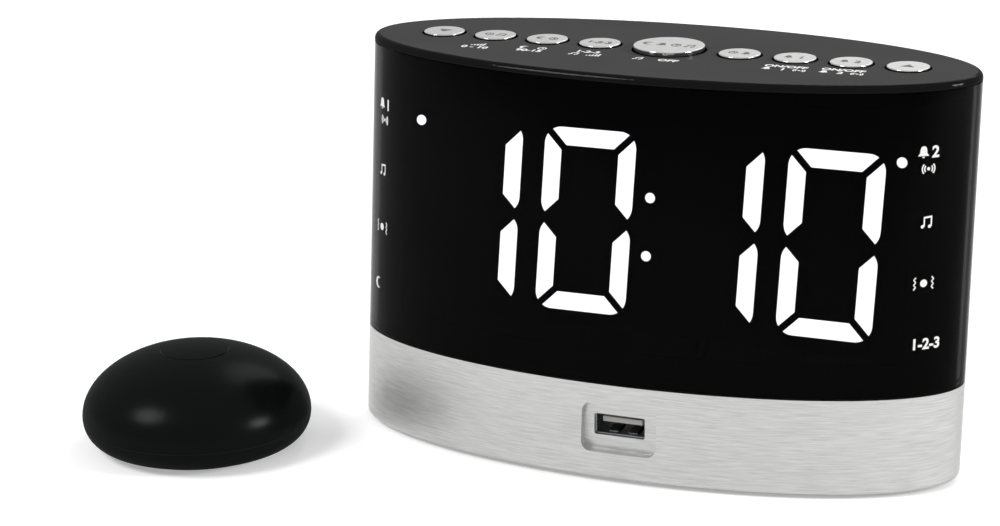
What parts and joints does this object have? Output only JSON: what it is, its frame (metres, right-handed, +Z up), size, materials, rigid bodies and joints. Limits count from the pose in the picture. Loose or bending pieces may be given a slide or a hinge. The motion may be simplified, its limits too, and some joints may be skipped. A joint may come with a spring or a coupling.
{
  "type": "alarm clock with bed shaker",
  "caption": "Leaning oval digital alarm clock with a smoked window, silver base band, top push buttons and a separate round vibrating bed shaker.",
  "frame": {"origin": "on the table, under the middle of the box that holds the clock and the shaker", "axes": "+X to the clock's right as seen from the front, -Y out of its front, +Z up"},
  "size_m": [0.2126, 0.1084, 0.0992],
  "materials": {
    "satin_cover": "satin dark grey moulded ABS with a gloss rim",
    "smoked_window": "smoked see-through acrylic, polished",
    "black_gloss": "high-gloss black ABS",
    "black_plastic": "black moulded plastic, lightly textured",
    "brushed_silver": "silver lacquer with a fine brushed grain over ABS",
    "silver_button": "satin silver plating with bright sides, over ABS",
    "rubber": "soft black rubber",
    "board_green": "green solder mask on glass-fibre board",
    "lens_lit": "milky light-spreading filling, lit",
    "lens_dark": "milky light-spreading filling, unlit",
    "steel": "zinc-plated steel",
    "chip_black": "moulded epoxy",
    "capacitor_sleeve": "shrunk plastic sleeve",
    "tongue_grey": "light grey moulded nylon",
    "paper_black": "pressed paper pulp",
    "magnet_dark": "ferrite magnet",
    "lead_insulation": "PVC insulation",
    "plug_white": "natural nylon",
    "ribbon_grey": "grey PVC flat cable",
    "shaker_black": "satin black moulded ABS",
    "clear_plastic": "clear acrylic",
    "tungsten": "sintered heavy metal",
    "cell_foil": "foil pouch"
  },
  "bodies": {
    "clock": {"backup_cell": "steel", "base_band": "brushed_silver", "base_plate": "black_plastic", "battery_door": "black_plastic", "battery_door_screw": "steel", "board_screws": "steel", "capacitors": "capacitor_sleeve", "case_screws": "steel", "cell_contact": "steel", "chips": "chip_black", "colon_lights": "lens_lit", "dark_indicators": "lens_dark", "dark_segments": "lens_dark", "dc_jack": "chip_black", "display_board": "board_green", "display_reflector": "black_plastic", "display_ribbon": "ribbon_grey", "front_frame": "black_plastic", "front_window": "smoked_window", "key_board": "board_green", "key_ribbon": "ribbon_grey", "key_switches": "chip_black", "lit_indicators": "lens_lit", "lit_segments": "lens_lit", "main_board": "board_green", "rear_cabinet": "black_gloss", "ribbon_headers": "plug_white", "rubber_feet": "rubber", "speaker_cone": "paper_black", "speaker_frame": "steel", "speaker_leads": "lead_insulation", "speaker_magnet": "magnet_dark", "top_cover": "satin_cover", "usb_bezel": "brushed_silver", "usb_shell": "steel", "usb_tongue": "tongue_grey"},
    "down_key": {"down_button": "silver_button"},
    "radio_key": {"radio_button": "silver_button"},
    "sleep_key": {"sleep_button": "silver_button"},
    "memory_key": {"memory_button": "silver_button"},
    "snooze_key": {"snooze_button": "silver_button"},
    "alarm_one_key": {"alarm_one_button": "silver_button"},
    "alarm_two_key": {"alarm_two_button": "silver_button"},
    "shaker_key_key": {"shaker_key_button": "silver_button"},
    "up_key": {"up_button": "silver_button"},
    "shaker": {"shaker_upper_shell": "shaker_black", "shaker_lower_shell": "shaker_black", "shaker_pad": "rubber", "shaker_board": "board_green", "shaker_switch": "chip_black", "shaker_light_pipe": "clear_plastic", "shaker_motor": "steel", "shaker_battery": "cell_foil", "charge_board": "board_green", "charge_socket": "steel", "shaker_screws": "steel"},
    "shaker_top_key": {"shaker_button": "shaker_black"},
    "shaker_weight": {"motor_shaft": "steel", "eccentric_weight": "tungsten"}
  },
  "joints": [
    {"name": "down_press", "type": "slide", "parent": "clock", "child": "down_key", "axis": [0, 0, -1], "range_m": [0, 0.0005], "stiffness_N_per_m": 3000, "springref_m": -0.0002},
    {"name": "radio_press", "type": "slide", "parent": "clock", "child": "radio_key", "axis": [0, 0, -1], "range_m": [0, 0.0005], "stiffness_N_per_m": 3000, "springref_m": -0.0002},
    {"name": "sleep_press", "type": "slide", "parent": "clock", "child": "sleep_key", "axis": [0, 0, -1], "range_m": [0, 0.0005], "stiffness_N_per_m": 3000, "springref_m": -0.0002},
    {"name": "memory_press", "type": "slide", "parent": "clock", "child": "memory_key", "axis": [0, 0, -1], "range_m": [0, 0.0005], "stiffness_N_per_m": 3000, "springref_m": -0.0002},
    {"name": "snooze_press", "type": "slide", "parent": "clock", "child": "snooze_key", "axis": [0, 0, -1], "range_m": [0, 0.0005], "stiffness_N_per_m": 3000, "springref_m": -0.0002},
    {"name": "alarm_one_press", "type": "slide", "parent": "clock", "child": "alarm_one_key", "axis": [0, 0, -1], "range_m": [0, 0.0005], "stiffness_N_per_m": 3000, "springref_m": -0.0002},
    {"name": "alarm_two_press", "type": "slide", "parent": "clock", "child": "alarm_two_key", "axis": [0, 0, -1], "range_m": [0, 0.0005], "stiffness_N_per_m": 3000, "springref_m": -0.0002},
    {"name": "shaker_key_press", "type": "slide", "parent": "clock", "child": "shaker_key_key", "axis": [0, 0, -1], "range_m": [0, 0.0005], "stiffness_N_per_m": 3000, "springref_m": -0.0002},
    {"name": "up_press", "type": "slide", "parent": "clock", "child": "up_key", "axis": [0, 0, -1], "range_m": [0, 0.0005], "stiffness_N_per_m": 3000, "springref_m": -0.0002},
    {"name": "shaker_lift", "type": "slide", "parent": "clock", "child": "shaker", "axis": [0, 0, 1], "range_m": [0, 0.15]},
    {"name": "shaker_press", "type": "slide", "parent": "shaker", "child": "shaker_top_key", "axis": [0, 0, -1], "range_m": [0, 0.0005], "stiffness_N_per_m": 2400, "springref_m": -0.0002},
    {"name": "shaker_motor_spin", "type": "hinge", "parent": "shaker", "child": "shaker_weight", "pos_m": [-0.06851, -0.03353, 0.0099], "axis": [0.9912, 0.1323, 0], "continuous": true}
  ]
}
